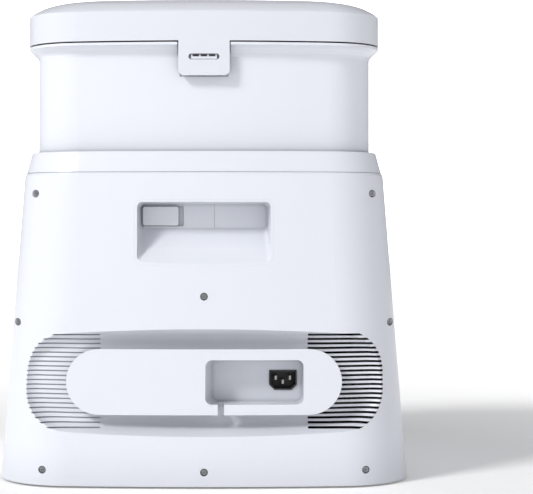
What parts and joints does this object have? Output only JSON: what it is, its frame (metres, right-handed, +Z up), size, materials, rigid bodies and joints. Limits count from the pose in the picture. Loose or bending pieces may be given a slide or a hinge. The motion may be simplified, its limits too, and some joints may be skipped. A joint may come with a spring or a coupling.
{
  "type": "robot vacuum base station",
  "caption": "Washing and charging station for a robot vacuum: robot bay, lift-out water tanks under a hinged lid, rear cable winder and mains inlet.",
  "frame": {"origin": "on the floor under the middle of the station", "axes": "+Z up, the robot drives in from -Y, +Y is the rear that stands against the wall, +X is to the left when the rear is looked at"},
  "size_m": [0.412, 0.4099, 0.489],
  "materials": {
    "casing_white": "satin moulded ABS, white with a cool cast",
    "lid_white": "satin moulded ABS, white with a cool cast",
    "inner_white": "fine-textured light grey-white ABS",
    "inlet_black": "black glass-filled nylon",
    "pin_metal": "nickel-plated brass",
    "screw_steel": "zinc-plated steel",
    "bay_grey": "dark grey textured plastic",
    "frame_grey": "unpainted grey plastic",
    "smoke_window": "dark infrared-clear plastic",
    "tank_clear": "clear tinted plastic",
    "waste_smoke": "smoke-tinted plastic",
    "seal_rubber": "silicone rubber",
    "foot_rubber": "rubber",
    "tray_grey": "mid grey plastic",
    "rib_blue": "blue-grey plastic",
    "motor_steel": "zinc-plated can",
    "board_green": "green solder mask",
    "wire_jacket": "PVC insulation",
    "hose_clear": "translucent silicone",
    "heater_metal": "plain",
    "contact_metal": "nickel-plated",
    "button_grey": "light grey plastic"
  },
  "bodies": {
    "station": {"base_plate": "bay_grey", "rubber_feet": "foot_rubber", "entry_ramp": "bay_grey", "front_casing": "casing_white", "rear_panel": "casing_white", "panel_screws": "screw_steel", "spool_plate": "casing_white", "power_inlet": "inlet_black", "inlet_pins": "pin_metal", "grip_pocket": "casing_white", "shoulder_ring": "casing_white", "tank_housing": "casing_white", "deck_frame": "frame_grey", "bay_liner": "bay_grey", "contact_block": "bay_grey", "signal_window": "smoke_window", "roller_pins": "screw_steel", "roller_brackets": "frame_grey", "fan_housing": "bay_grey", "air_duct": "frame_grey", "air_heater": "heater_metal", "clean_pump": "motor_steel", "waste_pump": "motor_steel", "tank_hoses": "hose_clear", "bay_hoses": "hose_clear", "power_supply": "frame_grey", "main_board": "board_green", "mains_wires": "wire_jacket", "port_seals": "seal_rubber", "hinge_bracket": "casing_white", "clean_tank": "tank_clear", "waste_tank": "waste_smoke", "tank_seals": "seal_rubber", "clean_tank_lid": "inner_white", "waste_tank_lid": "bay_grey", "float_bracket": "frame_grey"},
    "lid": {"lid_shell": "lid_white", "lid_frame": "inner_white", "lid_gasket": "seal_rubber", "hinge_pin": "pin_metal", "control_panel": "lid_white", "button_board": "board_green"},
    "tray": {"wash_tray": "tray_grey", "tray_filter": "frame_grey", "wash_ribs": "rib_blue"},
    "clean_handle": {"clean_tank_handle": "inner_white"},
    "waste_handle": {"waste_tank_handle": "bay_grey"},
    "slider": {"service_slider": "casing_white"},
    "contact_left": {"charge_contact_left": "contact_metal"},
    "contact_right": {"charge_contact_right": "contact_metal"},
    "roller_left": {"guide_roller_left": "frame_grey"},
    "roller_right": {"guide_roller_right": "frame_grey"},
    "fan_wheel": {"fan_impeller": "frame_grey"},
    "clean_rotor": {"clean_pump_rotor": "inner_white"},
    "waste_rotor": {"waste_pump_rotor": "inner_white"},
    "float": {"level_float": "inner_white"},
    "valve": {"clean_valve": "frame_grey"},
    "button_left": {"button_left": "button_grey"},
    "button_middle": {"button_middle": "button_grey"},
    "button_right": {"button_right": "button_grey"}
  },
  "joints": [
    {"name": "lid_hinge", "type": "hinge", "parent": "station", "child": "lid", "pos_m": [0, 0.1819, 0.4067], "axis": [-1, 0, 0], "range_deg": [0, 70]},
    {"name": "tray_slide", "type": "slide", "parent": "station", "child": "tray", "axis": [0, -1, 0], "range_m": [0, 0.24]},
    {"name": "clean_handle_fold", "type": "hinge", "parent": "station", "child": "clean_handle", "pos_m": [0.0838, 0.022, 0.4166], "axis": [-1, 0, 0], "range_deg": [0, 90]},
    {"name": "waste_handle_fold", "type": "hinge", "parent": "station", "child": "waste_handle", "pos_m": [-0.0838, 0.022, 0.4166], "axis": [-1, 0, 0], "range_deg": [0, 90]},
    {"name": "service_slide", "type": "slide", "parent": "station", "child": "slider", "axis": [-1, 0, 0], "range_m": [0, 0.005]},
    {"name": "contact_left_press", "type": "slide", "parent": "station", "child": "contact_left", "axis": [0, 1, 0], "range_m": [0, 0.0025], "stiffness_N_per_m": 250, "springref_m": -0.002},
    {"name": "contact_right_press", "type": "slide", "parent": "station", "child": "contact_right", "axis": [0, 1, 0], "range_m": [0, 0.0025], "stiffness_N_per_m": 250, "springref_m": -0.002},
    {"name": "roller_left_spin", "type": "hinge", "parent": "station", "child": "roller_left", "pos_m": [-0.1855, -0.13, 0.048], "axis": [0, 0, 1], "continuous": true},
    {"name": "roller_right_spin", "type": "hinge", "parent": "station", "child": "roller_right", "pos_m": [0.1855, -0.13, 0.048], "axis": [0, 0, 1], "continuous": true},
    {"name": "fan_spin", "type": "hinge", "parent": "station", "child": "fan_wheel", "pos_m": [-0.15, 0.132, 0.096], "axis": [0, 1, 0], "continuous": true},
    {"name": "clean_rotor_spin", "type": "hinge", "parent": "station", "child": "clean_rotor", "pos_m": [0.07, -0.04, 0.1555], "axis": [0, 1, 0], "continuous": true},
    {"name": "waste_rotor_spin", "type": "hinge", "parent": "station", "child": "waste_rotor", "pos_m": [-0.07, -0.04, 0.1555], "axis": [0, 1, 0], "continuous": true},
    {"name": "float_lift", "type": "hinge", "parent": "station", "child": "float", "pos_m": [-0.0838, -0.06, 0.398], "axis": [1, 0, 0], "range_deg": [0, 28]},
    {"name": "valve_lift", "type": "slide", "parent": "station", "child": "valve", "axis": [0, 0, 1], "range_m": [0, 0.003], "stiffness_N_per_m": 300, "springref_m": -0.002},
    {"name": "button_left_press", "type": "slide", "parent": "lid", "child": "button_left", "axis": [0, 0, -1], "range_m": [0, 0.0008], "stiffness_N_per_m": 600, "springref_m": -0.0006},
    {"name": "button_middle_press", "type": "slide", "parent": "lid", "child": "button_middle", "axis": [0, 0, -1], "range_m": [0, 0.0008], "stiffness_N_per_m": 600, "springref_m": -0.0006},
    {"name": "button_right_press", "type": "slide", "parent": "lid", "child": "button_right", "axis": [0, 0, -1], "range_m": [0, 0.0008], "stiffness_N_per_m": 600, "springref_m": -0.0006}
  ]
}
